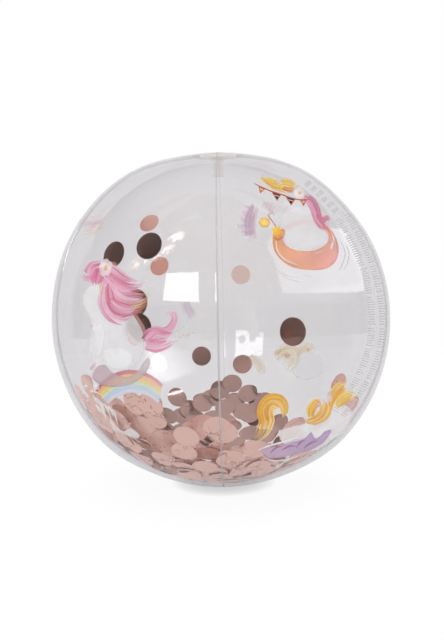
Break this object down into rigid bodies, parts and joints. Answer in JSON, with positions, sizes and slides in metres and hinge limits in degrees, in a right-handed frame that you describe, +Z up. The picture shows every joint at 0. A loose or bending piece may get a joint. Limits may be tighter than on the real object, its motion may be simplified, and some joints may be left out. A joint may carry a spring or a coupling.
{
  "type": "inflatable beach ball",
  "caption": "Clear inflatable beach ball of welded film gores with a push-in valve and loose round foil confetti inside.",
  "frame": {"origin": "on the floor, at the centre of the flat contact patch under the ball", "axes": "+Z up through the poles and the valve, +X to the right and -Y to the front, with a seam at each of +X, +Y, -X and -Y"},
  "size_m": [0.4, 0.4, 0.3968],
  "materials": {
    "clear_film": "glossy clear PVC film",
    "patch_film": "glossy clear PVC film, a second layer",
    "valve_vinyl": "soft translucent vinyl",
    "rose_gold_foil": "thin metallised polyester foil"
  },
  "bodies": {
    "ball_skin": {"gore_panel_front_left": "clear_film", "gore_panel_front_right": "clear_film", "gore_panel_back_right": "clear_film", "gore_panel_back_left": "clear_film", "top_pole_patch": "patch_film", "bottom_pole_patch": "patch_film", "valve_base": "valve_vinyl"},
    "valve_tube": {"valve_stem": "valve_vinyl"},
    "stopper": {"valve_plug": "valve_vinyl", "valve_tether": "valve_vinyl"},
    "check_flap": {"valve_check_flap": "valve_vinyl"},
    "confetti_lower": {"confetti_lower_layer": "rose_gold_foil"},
    "confetti_upper": {"confetti_upper_layer": "rose_gold_foil"},
    "confetti_front": {"confetti_on_front_film": "rose_gold_foil"},
    "confetti_back": {"confetti_on_back_film": "rose_gold_foil"}
  },
  "joints": [
    {"name": "valve_pull", "type": "slide", "parent": "ball_skin", "child": "valve_tube", "axis": [0, 0, 1], "range_m": [0, 0.016]},
    {"name": "stopper_swing", "type": "hinge", "parent": "valve_tube", "child": "stopper", "pos_m": [0.0125, 0, 0.39619], "axis": [0, 1, 0], "range_deg": [0, 150]},
    {"name": "flap_swing", "type": "hinge", "parent": "valve_tube", "child": "check_flap", "pos_m": [-0.0052, 0, 0.36887], "axis": [0, 1, 0], "range_deg": [0, 70]},
    {"name": "confetti_side_slide", "type": "hinge", "parent": "ball_skin", "child": "confetti_lower", "pos_m": [0, 0, 0.19557], "axis": [0, 1, 0], "range_deg": [-90, 90]},
    {"name": "confetti_fore_aft_slide", "type": "hinge", "parent": "confetti_lower", "child": "confetti_upper", "pos_m": [0, 0, 0.19557], "axis": [1, 0, 0], "range_deg": [-90, 90]},
    {"name": "front_disc_creep", "type": "hinge", "parent": "ball_skin", "child": "confetti_front", "pos_m": [0, 0, 0.19557], "axis": [0, 0, 1], "range_deg": [-30, 30]},
    {"name": "back_disc_creep", "type": "hinge", "parent": "ball_skin", "child": "confetti_back", "pos_m": [0, 0, 0.19557], "axis": [0, 0, 1], "range_deg": [-30, 30]}
  ]
}
